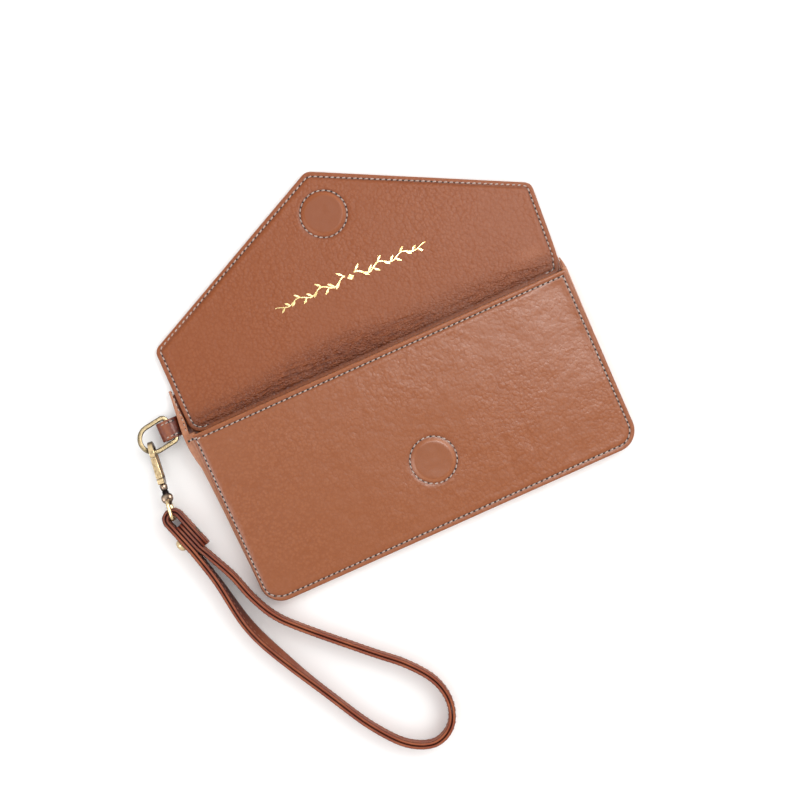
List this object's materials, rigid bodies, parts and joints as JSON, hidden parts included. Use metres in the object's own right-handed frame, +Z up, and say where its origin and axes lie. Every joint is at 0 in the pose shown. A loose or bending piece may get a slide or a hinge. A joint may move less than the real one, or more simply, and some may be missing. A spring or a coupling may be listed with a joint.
{
  "type": "wristlet wallet",
  "caption": "Envelope wristlet wallet in tan leather, magnetic flap folded open, with a strap on a swivel snap hook and D-ring.",
  "frame": {"origin": "centre of the back panel's outer face, which lies on the table", "axes": "+X across the wallet's width (seen from above with the flap away from the viewer, +X is right), +Y from the pouch's bottom edge towards the open flap's point, +Z up out of the table, through the front panel"},
  "size_m": [0.2426, 0.2953, 0.0142],
  "materials": {
    "tan_leather": "pebbled, semi-gloss",
    "dark_leather": "smooth, satin",
    "lining_fabric": "twill, matte",
    "stiffener_board": "matte",
    "antique_brass": "antiqued, satin",
    "spring_steel": "bright",
    "magnet": "dark, satin"
  },
  "bodies": {
    "pouch": {"back_panel": "tan_leather", "back_board": "stiffener_board", "back_lining": "lining_fabric", "slip_pocket": "dark_leather", "left_gusset": "tan_leather", "right_gusset": "tan_leather", "left_ear": "tan_leather", "right_ear": "tan_leather", "side_tab": "dark_leather"},
    "front": {"front_panel": "tan_leather", "front_board": "stiffener_board", "front_magnet": "magnet", "front_lining": "lining_fabric"},
    "flap_spine": {"spine_outer": "tan_leather", "spine_lining": "tan_leather"},
    "flap": {"flap_outer": "tan_leather", "flap_board": "stiffener_board", "flap_lining": "tan_leather", "flap_magnet": "magnet"},
    "ring": {"d_ring": "antique_brass"},
    "clasp": {"clasp_hook": "antique_brass", "gate_pin": "spring_steel", "gate_spring": "spring_steel"},
    "gate": {"clasp_gate": "antique_brass"},
    "swivel": {"swivel_eye": "antique_brass"},
    "strap": {"strap_outer": "tan_leather", "strap_inner": "tan_leather", "rivet_head": "antique_brass", "rivet_cap": "antique_brass"}
  },
  "joints": [
    {"name": "mouth_open", "type": "hinge", "parent": "pouch", "child": "front", "pos_m": [0, -0.0482, 0.0032], "axis": [-1, 0, 0], "range_deg": [-5, 0]},
    {"name": "spine_fold", "type": "hinge", "parent": "pouch", "child": "flap_spine", "pos_m": [0, 0.0504, 0.0035], "axis": [1, 0, 0], "range_deg": [0, 91.2]},
    {"name": "flap_fold", "type": "hinge", "parent": "flap_spine", "child": "flap", "pos_m": [0, 0.0611, 0.0035], "axis": [1, 0, 0], "range_deg": [0, 91.2]},
    {"name": "ring_swing", "type": "hinge", "parent": "pouch", "child": "ring", "pos_m": [-0.1131, 0.0564, 0.0036], "axis": [-0.1478, 0.989, 0], "range_deg": [0, 40]},
    {"name": "clasp_swing", "type": "hinge", "parent": "ring", "child": "clasp", "pos_m": [-0.12608, 0.04859, 0.00559], "axis": [-0.9932, 0.1167, 0], "range_deg": [0, 80]},
    {"name": "gate_open", "type": "hinge", "parent": "clasp", "child": "gate", "pos_m": [-0.12792, 0.0329, 0.01089], "axis": [-0.9932, 0.1167, 0], "range_deg": [0, 20]},
    {"name": "swivel_spin", "type": "hinge", "parent": "clasp", "child": "swivel", "pos_m": [-0.12608, 0.04859, 0.00719], "axis": [-0.1167, -0.9932, 0], "continuous": true},
    {"name": "strap_pivot", "type": "hinge", "parent": "swivel", "child": "strap", "pos_m": [-0.13023, 0.01323, 0.00719], "axis": [0, 0, -1], "range_deg": [0, 60]}
  ],
  "couplings": [
    {"joint": "flap_fold", "follows": "spine_fold", "ratio": 1}
  ]
}
